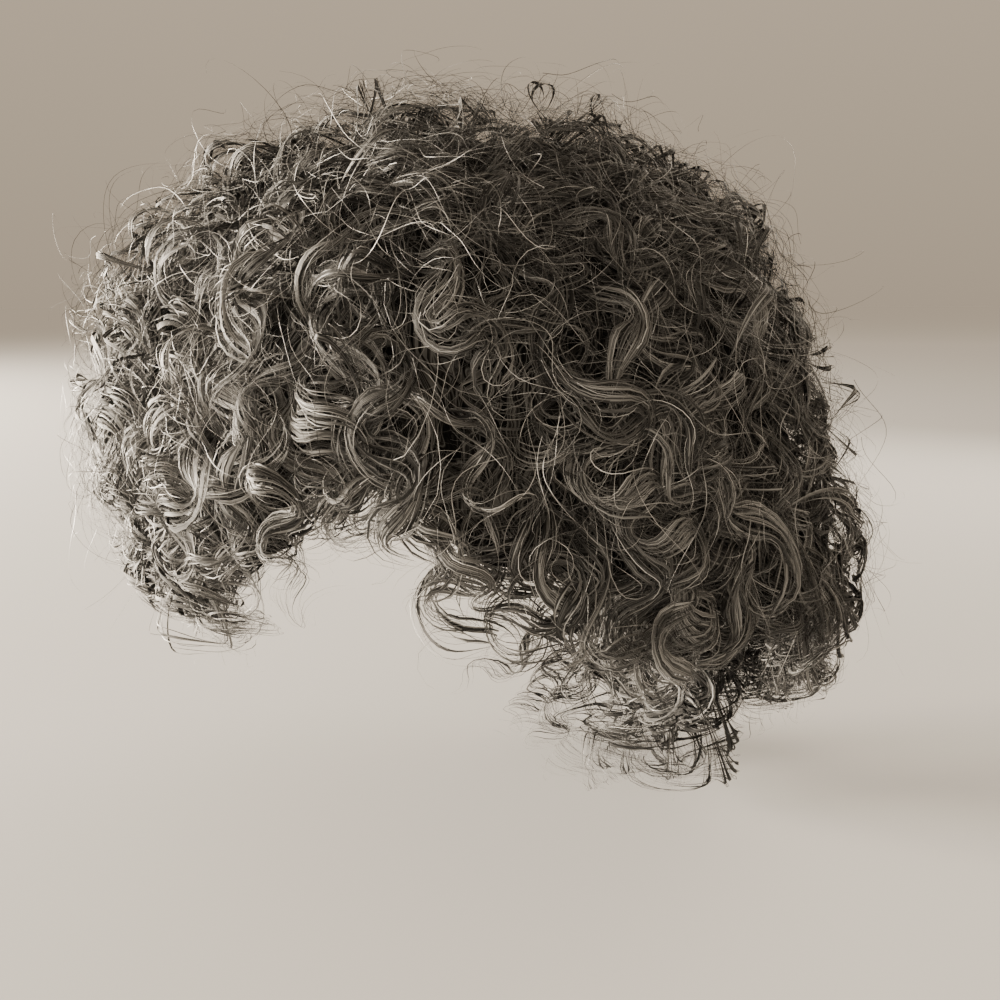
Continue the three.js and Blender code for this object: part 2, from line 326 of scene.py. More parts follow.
def direction(azimuth, angle):
    a, d = np.radians(azimuth), np.radians(angle)
    return np.stack([np.sin(a) * np.sin(d), -np.cos(a) * np.sin(d), np.cos(d) + 0 * a], -1)


def smoothstep(low, high, x):
    t = np.clip((x - low) / (high - low), 0, 1)
    return t * t * (3 - 2 * t)


def kept_in_box(points):
    """Points past the solids' box drawn back softly, so that none stands far out of it."""
    low, high = np.array(CAD_BOX) / MM
    nearest = np.clip(points, low, high)
    return nearest + BOX_ROOM * np.tanh((points - nearest) / BOX_ROOM)


# Meshes

class Ribbons:
    """Hairs and flat strands of hair gathered as ribbons, to become one mesh.

    The map holds a ribbon's tone across it and the way from root to tip along it. Single hairs have
    the lower half of the map, and strands the upper half.
    """

    def __init__(self):
        self.points, self.quads, self.maps, self.count = [], [], [], 0

    def add(self, points, side, half, tone, strands=False):
        """points and side are (ribbons, steps, 3), half is (ribbons, steps) and tone is (ribbons,)."""
        count, steps = points.shape[:2]
        out = side * half[..., None]
        edges = np.stack([points - out, points + out], 1)
        at = self.count + np.arange(count * 2 * steps).reshape(count, 2, steps)
        along = np.linspace(1, 0.501, steps) if strands else np.linspace(0, 0.499, steps)
        across = tone[:, None] + (STRAND_STRETCH if strands else HAIR_STRETCH) * np.array([-1, 1])
        maps = np.stack(np.broadcast_arrays(across[..., None], along), -1)

        def corners(grid):
            return np.stack([grid[:, 0, :-1], grid[:, 1, :-1], grid[:, 1, 1:], grid[:, 0, 1:]], 2)

        self.points.append(edges.reshape(-1, 3))
        self.quads.append(corners(at).reshape(-1, 4))
        self.maps.append(corners(maps).reshape(-1, 2))
        self.count += count * 2 * steps

    def build(self, name, material):
        return mesh_object(name, np.concatenate(self.points), np.concatenate(self.quads), material,
                           np.concatenate(self.maps))


def mesh_object(name, points, quads, material, maps=None):
    """A smooth mesh of quads from points in millimetres, with a map of its own if one is given."""
    mesh = bpy.data.meshes.new(name)
    mesh.vertices.add(len(points))
    mesh.vertices.foreach_set("co", (np.asarray(points) * MM).astype(np.float32).ravel())
    mesh.loops.add(len(quads) * 4)
    mesh.loops.foreach_set("vertex_index", quads.astype(np.int32).ravel())
    mesh.polygons.add(len(quads))
    mesh.polygons.foreach_set("loop_start", np.arange(0, len(quads) * 4, 4, dtype=np.int32))
    mesh.polygons.foreach_set("use_smooth", np.ones(len(quads), bool))
    if maps is not None:
        layer = mesh.uv_layers.new(name="OFBake")
        layer.uv.foreach_set("vector", maps.astype(np.float32).ravel())
    mesh.update(calc_edges=True)
    mesh.materials.append(material)
    piece = bpy.data.objects.new(name, mesh)
    bpy.context.scene.collection.objects.link(piece)
    return piece


# Hairs and locks

def pick(bounds, count=None):
    return rng.uniform(bounds[0], bounds[1], count)


def column(values):
    return np.asarray(values)[:, None]


def toned(count, tone, paleness=0):
    mean, paler, spread = tone
    return rng.normal(mean + paler * paleness, spread, count)


def tapered(u, taper):
    """How wide a hair is along it, as a share of its width at the root."""
    start, depth = taper
    return 1 - depth * smoothstep(start, 1, u)


def curled(root, heading, steps, hair, even=False):
    """Hairs that curl along the form: points, the sides that their ribbons face, the way along, and
    how full the lock is there.

    Each hair swings from side to side of a great circle by a sine of its length, and stands out from
    it a quarter wave later, so that a bend of more than a right angle makes a ringlet. hair holds a
    value, or a column of them, for each measure.
    """
    u = np.linspace(0, 1, FINE * steps)[None, :]
    s = u * hair["length"]
    turn = hair["phase"] + FULL_TURN * s / hair["wave"] * (1 + WAVE_SHORTENED * u)
    # the swing is half as large at the root, and larger at the tip
    growth = 0.5 + 0.5 * smoothstep(0, 0.4, u) + 0.3 * smoothstep(0.7, 1, u)
    swing = hair["bend"] * growth * np.sin(turn) + hair["veer"] * u
    step = np.diff(s, axis=1, prepend=0)
    along = np.cumsum(np.cos(swing) * step, 1)
    across = np.cumsum(np.sin(swing) * step, 1)
    across = across - across.mean(1, keepdims=True) * smoothstep(0, 0.5, u)
    rise = smoothstep(0, 0.3, u)
    size = hair["wave"] / FULL_TURN * hair["bend"] * (1 - hair["bend"] ** 2 / 9)
    twist = hair["twist"] * np.cos(turn)
    out = hair["lift"] * size * np.sin(turn) * rise + hair["flick"] * smoothstep(0.6, 1, u)
    # the lock is drawn together at the root, in the bends and at the tip
    full = END_WIDTH + (1 - END_WIDTH) * smoothstep(0, 0.25, u)
    full = full * tapered(u, (0.65, 1 - END_WIDTH))
    full = full * (1 - hair["pinch"] * rise * np.cos(turn) ** 2)
    ripple = FULL_TURN * (s / RIPPLE_WAVE + hair["start"])
    offset = hair["offset"] * full + hair["ripple"] * np.sin(ripple)
    layer = hair["layer"] * full + hair["ripple"] * np.cos(ripple)
    flat = offset * np.cos(twist) - layer * np.sin(twist)
    normal_along, normal_across = -np.sin(swing), np.cos(swing)
    along = along + flat * normal_along
    across = across + flat * normal_across
    out = out + offset * np.sin(twist) + layer * np.cos(twist)
    # the great circle, at the lock's depth under the form
    arc = (along / (reach(root) - hair["depth"]))[..., None]
    outward = root * np.cos(arc) + heading * np.sin(arc)
    forward = heading * np.cos(arc) - root * np.sin(arc)
    sideways = np.cross(outward, forward)
    radius = reach(outward) - hair["depth"] - hair["sunk"] * (1 - rise) + out
    centre = CENTRE - np.array([0, 0, hair["drop"]])
    points = kept_in_box(centre + outward * radius[..., None] + sideways * across[..., None])
    tilt = twist + hair["tilt"]
    side = (forward * (normal_along * np.cos(tilt))[..., None]
            + sideways * (normal_across * np.cos(tilt))[..., None]
            + outward * np.sin(tilt)[..., None])
    # more points are kept where the hair bends more
    bent = np.hypot(np.cos(turn[0]), 0 if even else hair["lift"] * np.sin(turn[0]))
    weight = np.ones(FINE * steps) if even else 0.4 + np.sqrt(bent)
    share = np.cumsum(weight) - weight[0]
    keep = np.searchsorted(share / share[-1], np.linspace(0, 1, steps) - 1e-9)
    return points[:, keep], side[:, keep], u[:, keep], full[:, keep]


def paleness_at(angle):
    """How pale the hair is at an angle from the crown, as a share of the most, with painted shade
    that darkens the crown and, most of all, the nape.
    """
    crown = CROWN_SHADE_PALENESS + (1 - CROWN_SHADE_PALENESS) * smoothstep(*CROWN_SHADE_ANGLES, angle)
    return crown * (1 - (1 - NAPE_SHADOW_PALENESS) * smoothstep(*NAPE_SHADOW_ANGLES, angle))


def lock_measures(lock, places, raised, looseness):
    """The measures of a lock's hairs at places across it, where -1 and 1 are its edges."""
    count = len(places)
    inside = np.clip(places, -1, 1)
    parting = PARTING * np.array([-1, 0, 1]) * pick(PARTINGS)
    third = np.clip((places * 1.5 + 1.5).astype(int), 0, 2)
    layers = lock["half"] * LOCK_ROUND * (1 - inside ** 2) + raised
    layers = layers + rng.normal(0, JITTER["layer"], count)
    return dict(
        length=column(lock["length"] * (1 - looseness * rng.uniform(0, JITTER["length"], count))),
        wave=column(lock["wave"] * (1 + looseness * rng.normal(0, JITTER["wave"], count))),
        bend=column(lock["bend"] * (1 + looseness * rng.normal(0, JITTER["bend"], count))),
        phase=column(
            lock["phase"] + looseness * (parting[third] + rng.normal(0, JITTER["phase"], count))
        ),
        veer=lock["veer"],
        lift=lock["hand"] * lock["lift"],
        twist=lock["hand"] * lock["twist"],
        flick=lock["flick"],
        pinch=PINCH,
        start=column(rng.random(count)),
        ripple=column(min(1, looseness) * rng.uniform(0, JITTER["ripple"], count)),
        offset=column(lock["half"] * places),
        layer=column(layers),
        depth=lock["depth"],
        drop=lock["drop"],
        sunk=max(0, UNDER_INSET + ROOT_SUNK - lock["depth"]),
        tilt=column(rng.normal(0, JITTER["tilt"], count) - np.arctan(2 * LOCK_ROUND * inside)),
    )


def hair_tones(count, paleness):
    """Salt and pepper: dark and grey hairs round a lock's own tone, with pale ones among them."""
    grey = toned(count, GREY_TONE, paleness)
    pale = toned(count, PALE_TONE)
    is_pale = rng.random(count) < PALE_SHARE[0] + PALE_SHARE[1] * paleness
    return np.clip(np.where(is_pale, pale, grey), *HAIR_TONES)


def add_strands(ribbons, lock, count, paleness):
    """Flat strands side by side, which fill the lock."""
    places = STRAND_SPREAD * np.linspace(-1, 1, count) + rng.normal(0, PLACE_JITTER / count, count)
    measures = lock_measures(lock, places, 0, STRAND_LOOSENESS)
    points, side, u, full = curled(lock["root"], lock["heading"], lock["steps"], measures)
    half = min(STRAND_WIDEST, lock["half"] / count * STRAND_OVERLAP)
    half = half * column(pick(STRAND_WIDTHS, count)) * full * tapered(u, STRAND_TAPER)
    tones = np.clip(toned(count, STRAND_TONE, paleness), *STRAND_TONES)
    ribbons.add(points, side, half, tones, strands=True)


def add_hairs(ribbons, lock, count, spread, half_width, paleness):
    """Single hairs over the strands, or stray ones beside them where they spread wider."""
    places = spread * (np.linspace(-1, 1, count) + rng.normal(0, PLACE_JITTER / count, count))
    measures = lock_measures(lock, places, HAIR_RAISED, spread)
    points, side, u, _ = curled(lock["root"], lock["heading"], lock["steps"], measures)
    half = half_width * column(pick(HAIR_WIDTHS, count)) * tapered(u, HAIR_TAPER)
    ribbons.add(points, side, half, hair_tones(count, paleness))


def group_at(point):
    azimuth, angle = azimuth_angle(point / np.linalg.norm(point))
    if angle < CROWN_ANGLE:
        return "crown"
    for name, first, last in GROUPS:
        if (azimuth - first) % 360 <= last - first:
            return "nape" if name == "back" and angle > NAPE_ANGLE else name


def room_to_hem(root, heading):
    """How far a hair can run from its root along the form before it passes the hem."""
    arc = np.radians(np.arange(0, 91, 2))[:, None]
    azimuth, angle = azimuth_angle(root * np.cos(arc) + heading * np.sin(arc))
    past = angle > hem_angle(azimuth)
    return float(arc[np.argmax(past), 0] if past.any() else arc[-1, 0]) * float(reach(root))


def grow_lock(groups, azimuth, angle, lean, layer):
    """One lock from its root along the form, about as far as the hem at most."""
    root, down = direction(azimuth, angle), direction(azimuth, angle + 90)
    heading = down * math.cos(lean) + np.cross(root, down) * math.sin(lean)
    room = room_to_hem(root, heading) + rng.normal(*HEM_PASSED)
    curls = layer["curls"]
    curl = curls[rng.choice(len(curls), p=[c["share"] for c in curls])]
    lock = dict(
        root=root,
        heading=heading,
        wave=pick(curl["wave"]),
        bend=pick(curl["bend"]),
        half=pick(curl["half"]),
        lift=curl["lift"],
        twist=curl["twist"],
        phase=rng.uniform(0, FULL_TURN),
        hand=rng.choice([-1, 1]),
        veer=rng.normal(0, VEER),
        flick=rng.normal(0, FLICK),
        drop=layer["drop"],
    )
    # the share of a swinging hair's length that it gains along its circle
    straightness = 1 - lock["bend"] ** 2 / 4 + lock["bend"] ** 4 / 64
    lock["length"] = min(LONGEST_HAIR, min(pick(layer["span"]), room) / straightness)
    steps = lock["length"] / layer["step"] * math.sqrt(lock["bend"] / USUAL_BEND)
    lock["steps"] = max(FEWEST_STEPS, int(steps))
    standing = lock["wave"] / FULL_TURN * lock["bend"] * lock["lift"]
    lock["depth"] = pick(layer["depths"]) + standing * CURL_SUNK
    paleness = pick(layer["paleness"]) * paleness_at(angle)
    further = root * math.cos(GROUP_ARC) + heading * math.sin(GROUP_ARC)
    ribbons = groups.setdefault(group_at(further), Ribbons())
    add_strands(ribbons, lock, layer["strands"], paleness)
    add_hairs(ribbons, lock, layer["hairs"], 1.0, HAIR_HALF_WIDTH, paleness)
    if layer["strays"]:
        add_hairs(ribbons, lock, layer["strays"], STRAY_SPREAD, STRAY_HALF_WIDTH, STRAY_PALENESS)


def sites(count, turned):
    """Even places over the head, as azimuth and angle, without those close to the hem."""
    golden = 180 * (3 - math.sqrt(5))
    lowest = math.cos(math.radians(LOWEST_SITE))
    for i in range(count):
        azimuth = i * golden + turned + rng.normal(0, SITE_SPREAD)
        angle = math.degrees(math.acos(1 - (1 - lowest) * (i + 0.5) / count))
        if angle < hem_angle(azimuth) - SITE_LIFT:
            yield azimuth, angle


def grow_locks(groups):
    """Locks spread evenly over the head, short ones every way over the crown, a dark layer below
    them, thin ringlets over them, locks along the hem, over the nape and inside the hem, and a few
    short ones over what is still bare."""

    def lean(layer):
        return rng.normal(0, LEANS[layer])

    for azimuth, angle in sites(LOCK_SITES, 0):
        backward = LEAN_BACK * math.sin(math.radians(azimuth))
        spread = SITE_LEAN + SITE_CROWN_LEAN * max(0, 1 - angle / SITE_CROWN_ANGLE)
        grow_lock(groups, azimuth, angle, math.radians(backward + rng.normal(0, spread)), OUTER)
    for _ in range(CROWN_LOCKS):
        angle = CROWN_LOCKS_ANGLE * math.sqrt(rng.random())
        grow_lock(groups, pick((0, 360)), angle, lean("crown"), CROWN)
    for azimuth, angle in sites(DEEP_SITES, DEEP_TURNED):
        grow_lock(groups, azimuth, angle, lean("deep"), DEEP)
    for azimuth, angle in sites(THIN_SITES, THIN_TURNED):
        grow_lock(groups, azimuth, angle, lean("thin"), THIN)
    hem_azimuths = 360 * (np.arange(HEM_LOCKS) + rng.random(HEM_LOCKS)) / HEM_LOCKS
    for azimuth in hem_azimuths:
        angle = float(hem_angle(azimuth)) - pick(HEM_LIFT)
        grow_lock(groups, azimuth, angle, lean("hem"), OUTER)
    for azimuth in pick(NAPE_AZIMUTHS, NAPE_LOCKS):
        grow_lock(groups, azimuth, pick(NAPE_ROOTS), lean("nape"), NAPE)
    for _ in range(INNER_LOCKS):
        azimuth = pick((0, 360))
        angle = float(hem_angle(azimuth)) - pick(INNER_LIFT)
        grow_lock(groups, azimuth, angle, lean("inner"), INNER)
    for azimuth, angle in FILL_SITES:
        grow_lock(groups, azimuth, angle, lean("fill"), CROWN)


def grow_loose(ribbons, count, depths, lengths, lift, stand, half_width, steps, paleness):
    """Single hairs that run every way over the form, between two depths under it."""
    azimuth = pick((0, 360), count)
    hem = hem_angle(azimuth)
    lowest = np.cos(np.radians(hem - LOOSE_LIFT))
    angle = np.degrees(np.arccos(1 - (1 - lowest) * rng.random(count)))
    root, down = direction(azimuth, angle), direction(azimuth, angle + 90)
    every_way, downward = pick((-math.pi, math.pi), count), rng.normal(0, LOOSE_LEAN, count)
    lean = np.where(angle < hem - LOOSE_EVERY_WAY, every_way, downward)
    heading = down * np.cos(lean)[:, None] + np.cross(root, down) * np.sin(lean)[:, None]
    room = np.radians(hem + LOOSE_PASSED - angle) * MEAN_REACH / np.maximum(0.15, np.cos(lean))
    hair = dict(
        length=column(np.minimum(pick(lengths, count), room)),
        wave=column(pick(LOOSE_WAVE, count)),
        bend=column(pick(LOOSE_BEND, count)),
        phase=column(pick((0, FULL_TURN), count)),
        veer=column(rng.normal(0, LOOSE_VEER, count)),
        lift=column(rng.choice([-1, 1], count) * lift),
        twist=LOOSE_TWIST,
        flick=column(rng.normal(0, 1, count) * stand),
        depth=column(pick(depths, count)),
        tilt=column(pick(LOOSE_TILT, count)),
        pinch=0, start=0, ripple=0, offset=0, layer=0, drop=0, sunk=0,
    )
    points, side, u, _ = curled(root[:, None, :], heading[:, None, :], steps, hair, even=True)
    half = half_width * column(pick(LOOSE_WIDTHS, count)) * tapered(u, LOOSE_TAPER)
    ribbons.add(points, side, half, hair_tones(count, paleness * paleness_at(angle)))


# The hair under the locks, painted near black as shade, and the cap

def skull_point(azimuth, angle, offset):
    height = np.where(angle < 90, SKULL_CROWN_HEIGHT, SKULL_NAPE_HEIGHT) + offset
    width, length = SKULL_HALF_WIDTH + offset, SKULL_HALF_LENGTH + offset
    axes = np.stack(np.broadcast_arrays(width, length, height), -1)
    return CENTRE + direction(azimuth, angle) * axes


def cap_edge_angle(azimuth):
    height = SKULL_CROWN_HEIGHT - through(CAP_EDGE_AZIMUTHS, CAP_EDGE_DROPS, folded(azimuth))
    return np.degrees(np.arccos(height / np.where(height > 0, SKULL_CROWN_HEIGHT, SKULL_NAPE_HEIGHT)))


def skin(name, rings, material):
    """A closed skin over rings of points, whose first and last rings are drawn into one point.
    Its map runs round the rings and from the first to the last."""
    rows, around = rings.shape[:2]
    at = np.arange(rows * around).reshape(rows, around)
    turned = np.roll(at, -1, 1)
    quads = np.stack([at[:-1], turned[:-1], turned[1:], at[1:]], -1).reshape(-1, 4)
    left, low = np.meshgrid(np.arange(around), np.arange(rows - 1))
    maps = np.stack([np.stack([left, low], -1), np.stack([left + 1, low], -1),
                     np.stack([left + 1, low + 1], -1), np.stack([left, low + 1], -1)], 2)
    maps = maps.reshape(-1, 2) / [around, rows - 1]
    piece = mesh_object(name, rings.reshape(-1, 3), quads, material, maps)
    shape = bmesh.new()
    shape.from_mesh(piece.data)
    bmesh.ops.remove_doubles(shape, verts=shape.verts, dist=1e-6)
    bmesh.ops.recalc_face_normals(shape, faces=shape.faces)
    shape.to_mesh(piece.data)
    shape.free()
    return piece


def under_outer(azimuth, angle):
    """The outer face of the under-hair."""
    directions = direction(azimuth, angle)
    return CENTRE + directions * column(reach(directions) - UNDER_INSET)


def under_end(azimuth):
    return hem_angle(azimuth) - through(UNDER_LIFT_AZIMUTHS, UNDER_LIFTS, folded(azimuth))


def under_edges(azimuth):
    """The cap's edge, and the inner and outer edges of the under-hair's underside, round the head."""
    lip = skull_point(azimuth, cap_edge_angle(azimuth), CAP_WALL + UNDER_GAP)
    outer = under_outer(azimuth, under_end(azimuth))
    inner = direction(azimuth, 90) * column(through(FORM_AZIMUTHS, FORM_INSIDES, folded(azimuth)))
    inner[:, 2] = outer[:, 2]
    return lip, inner, outer


def under_hair(material):
    azimuth = np.arange(0, 360, SKIN_STEP)
    edge, end = cap_edge_angle(azimuth), under_end(azimuth)
    lip, inner, outer = under_edges(azimuth)
    rings = [skull_point(azimuth, edge * t, CAP_WALL + UNDER_GAP) for t in np.linspace(0, 1, SKIN_ROWS)]
    rings += [lip + (inner - lip) * t for t in (0.33, 0.66, 1.0)]
    rings += [inner + (outer - inner) * t for t in (0.33, 0.66)]
    rings += [under_outer(azimuth, end * t) for t in np.linspace(1, 0, UNDER_ROWS)]
    return skin("under_hair", np.array(rings), material)


def line_underside(ribbons, count, half_width, strands):
    """Wavy hair over the inner face and the underside of the under-hair, from the cap's edge out."""
    azimuth = pick((0, 360), count)
    lip, inner, outer = under_edges(azimuth)
    down, across = inner - lip, outer - inner
    first, second = (column(np.linalg.norm(way, axis=1)) for way in (down, across))
    u = np.linspace(0, 1, LINING_STEPS)[None, :]
    s = u * (first + second) * column(pick(LINING_LENGTHS, count))
    on_face, on_underside = np.minimum(s / first, 1), np.maximum(s - first, 0) / second
    sector = (azimuth / 360 * LINING_SECTORS).astype(int)
    phase = pick((0, FULL_TURN), LINING_SECTORS)[sector] + rng.normal(0, LINING_PHASE, count)
    turn = column(phase) + FULL_TURN * s / LINING_WAVE
    rise = smoothstep(0, LINING_RISE, s)
    swing = column(pick(LINING_SWINGS, count)) * LINING_SWING * rise * np.sin(turn)
    stand = column(pick(LINING_STANDS, count)) + LINING_SWING * rise * (1 + np.cos(turn)) / 2
    sideways = direction(azimuth + 90, 90)[:, None]
    inward = -direction(azimuth, 90)[:, None] * (1 - on_face)[..., None]
    downward = LINING_DOWNWARD + (1 - LINING_DOWNWARD) * on_face
    off = inward - np.array([0, 0, 1]) * downward[..., None]
    points = lip[:, None] + down[:, None] * on_face[..., None]
    points = points + across[:, None] * on_underside[..., None]
    points = points + sideways * swing[..., None] + off * stand[..., None]
    droop = column(pick(LINING_DROOP, count)) * np.minimum(1, second / LINING_WIDE)
    points[..., 2] -= droop * on_underside ** 2
    tilt = column(rng.normal(0, LINING_TILT, count))[..., None]
    half = half_width * column(pick(LINING_WIDTHS, count)) * tapered(u, LINING_TAPER)
    tones = np.clip(toned(count, LINING_TONE), *STRAND_TONES)
    ribbons.add(points, sideways * np.cos(tilt) + off * np.sin(tilt), half, tones, strands)


def cap_shell(material):
    azimuth = np.arange(0, 360, SKIN_STEP)
    edge = cap_edge_angle(azimuth)
    inner = [skull_point(azimuth, edge * t, 0) for t in np.linspace(0, 1, SKIN_ROWS)]
    outer = [skull_point(azimuth, edge * t, CAP_WALL) for t in np.linspace(1, 0, SKIN_ROWS)]
    return skin("cap_shell", np.array(inner + outer), material)


# Materials

HAIR_RAMP = [  # place, linear colour
    (0.0, (0.0022, 0.0022, 0.0021)),
    (0.25, (0.0075, 0.0074, 0.0072)),
    (0.45, (0.034, 0.0337, 0.033)),
    (0.6, (0.09, 0.089, 0.087)),
    (0.75, (0.19, 0.188, 0.183)),
    (0.9, (0.34, 0.337, 0.33)),
    (1.0, (0.5, 0.495, 0.485)),
]
STREAKS = (110, 5)  # streaks of tone across the whole map of the hairs and along it
STREAK_NOISE = (0.38, 0.62)  # stretch of the noise that makes the streaks
STREAK_DEPTH = 0.25  # of tone, darker and paler
STREAK_RELIEF = 0.15
STRAND_STRETCH = 0.02  # half the stretch of the map, and so of streaks, across a strand
HAIR_STRETCH = 0.003
ROOT_PAINTED_SHADE = 0.3  # painted shade at the roots, deep in the hair: their colour, as a share of the colour further along
ROOT_SHARE = 0.15  # of the map, which has half its height for strands and half for single hairs
HAIR_SPECULAR = 0.15
HAIR_ROUGHNESS = 0.4
STRAND_ROUGHNESS = 0.6
UNDER_STREAKS = (700, 12)  # in the under-hair, painted near black as the shade under the locks
# tone of the under-hair: painted shade, near black, for the depth under the locks
UNDER_SHADE_TONE = 0.3
SWAYS = (34, 22)  # of its streaks, round its map and along it
SWAY_NOISE = (0.3, 0.7)
SWAY = 0.008
CLOTH_ROWS = FULL_TURN * 72  # radians along the cap's map, inside and outside
BINDING_RIBS = FULL_TURN * 240
BINDING_SHARE = 0.03  # of the map, on either side of the cap's edge
BINDING_END = 0.0345  # where it has faded into the knit
KNIT = (420, 260)  # loops round the cap's map and along it
CLOTH_RELIEF = 0.5
CLOTH_ROUGHNESS = 0.85
CLOTH_HEIGHTS = (-1, 1.6)
CLOTH_HOLLOW_SHADE = (0.006, 0.0058, 0.0055, 1)
CLOTH_HIGH = (0.04, 0.038, 0.035, 1)


def node_material(name, roughness):
    material = bpy.data.materials.new(name)
    material.use_nodes = True
    shader = material.node_tree.nodes["Principled BSDF"]
    shader.inputs["Roughness"].default_value = roughness
    return material, material.node_tree.nodes, material.node_tree.links, shader


def mapped_range(nodes, links, value, low, high, to_low, to_high):
    mapped = nodes.new("ShaderNodeMapRange")
    mapped.inputs["From Min"].default_value = low
    mapped.inputs["From Max"].default_value = high
    mapped.inputs["To Min"].default_value = to_low
    mapped.inputs["To Max"].default_value = to_high
    links.new(value, mapped.inputs["Value"])
    return mapped.outputs["Result"]


def math_node(nodes, links, operation, first, second=None):
    """A maths node whose inputs are sockets or, for the second, a number."""
    node = nodes.new("ShaderNodeMath")
    node.operation = operation
    links.new(first, node.inputs[0])
    if isinstance(second, bpy.types.NodeSocket):
        links.new(second, node.inputs[1])
    elif second is not None:
        node.inputs[1].default_value = second
    return node.outputs["Value"]


def map_noise(nodes, links, place, scale):
    """Noise over a map, at a scale of its own across it and along it."""
    stretch = nodes.new("ShaderNodeMapping")
    stretch.inputs["Scale"].default_value = (*scale, 1)
    links.new(place, stretch.inputs["Vector"])
    noise = nodes.new("ShaderNodeTexNoise")
    noise.noise_dimensions = "2D"
    noise.inputs["Scale"].default_value = 1
    links.new(stretch.outputs["Vector"], noise.inputs["Vector"])
    return noise


def swayed(nodes, links, place):
    """A map whose streaks bend from side to side."""
    sway = map_noise(nodes, links, place, SWAYS)
    aside = nodes.new("ShaderNodeCombineXYZ")
    by = mapped_range(nodes, links, sway.outputs["Fac"], *SWAY_NOISE, -SWAY, SWAY)
    links.new(by, aside.inputs["X"])
    moved = nodes.new("ShaderNodeVectorMath")
    links.new(place, moved.inputs[0])
    links.new(aside.outputs["Vector"], moved.inputs[1])
    return moved.outputs["Vector"]


def piece_map(nodes):
    place = nodes.new("ShaderNodeUVMap")
    place.uv_map = "OFBake"
    return place.outputs["UV"]


def hair_material(name, streaks, specular, tone=None):
    """Hair in streaks along its map. Its tone comes from the map, where strands are rougher than
    single hairs and the roots are painted darker as shade deep in the hair, or else it is the same
    all over."""
    material, nodes, links, shader = node_material(name, STRAND_ROUGHNESS)
    shader.inputs["Specular IOR Level"].default_value = specular
    place = piece_map(nodes)
    noise = map_noise(nodes, links, place if tone is None else swayed(nodes, links, place), streaks)
    noise.inputs["Detail"].default_value = 3
    noise.inputs["Distortion"].default_value = 0.4
    bump = nodes.new("ShaderNodeBump")
    bump.inputs["Strength"].default_value = 0.5
    bump.inputs["Distance"].default_value = STREAK_RELIEF * MM
    links.new(noise.outputs["Fac"], bump.inputs["Height"])
    links.new(bump.outputs["Normal"], shader.inputs["Normal"])
    depth = (-STREAK_DEPTH, STREAK_DEPTH)
    streak = mapped_range(nodes, links, noise.outputs["Fac"], *STREAK_NOISE, *depth)
    ramp = nodes.new("ShaderNodeValToRGB")
    ramp.color_ramp.elements.remove(ramp.color_ramp.elements[1])
    for k, (at, colour) in enumerate(HAIR_RAMP):
        element = ramp.color_ramp.elements[0] if k == 0 else ramp.color_ramp.elements.new(at)
        element.position = at
        element.color = (*colour, 1)
    if tone is not None:
        links.new(math_node(nodes, links, "ADD", streak, tone), ramp.inputs["Fac"])
        links.new(ramp.outputs["Color"], shader.inputs["Base Color"])
        return material
    split = nodes.new("ShaderNodeSeparateXYZ")
    links.new(place, split.inputs["Vector"])
    links.new(math_node(nodes, links, "ADD", streak, split.outputs["X"]), ramp.inputs["Fac"])
    along = math_node(nodes, links, "PINGPONG", split.outputs["Y"], 0.5)
    # painted shade: the colour darkened towards the roots
    darker = nodes.new("ShaderNodeMix")
    darker.data_type = "RGBA"
    darker.blend_type = "MULTIPLY"
    darker.inputs["Factor"].default_value = 1
    links.new(ramp.outputs["Color"], darker.inputs["A"])
    links.new(mapped_range(nodes, links, along, 0, ROOT_SHARE, ROOT_PAINTED_SHADE, 1), darker.inputs["B"])
    links.new(darker.outputs["Result"], shader.inputs["Base Color"])
    roughness = (HAIR_ROUGHNESS, STRAND_ROUGHNESS)
    rough = mapped_range(nodes, links, split.outputs["Y"], 0.4995, 0.5005, *roughness)
    links.new(rough, shader.inputs["Roughness"])
    return material


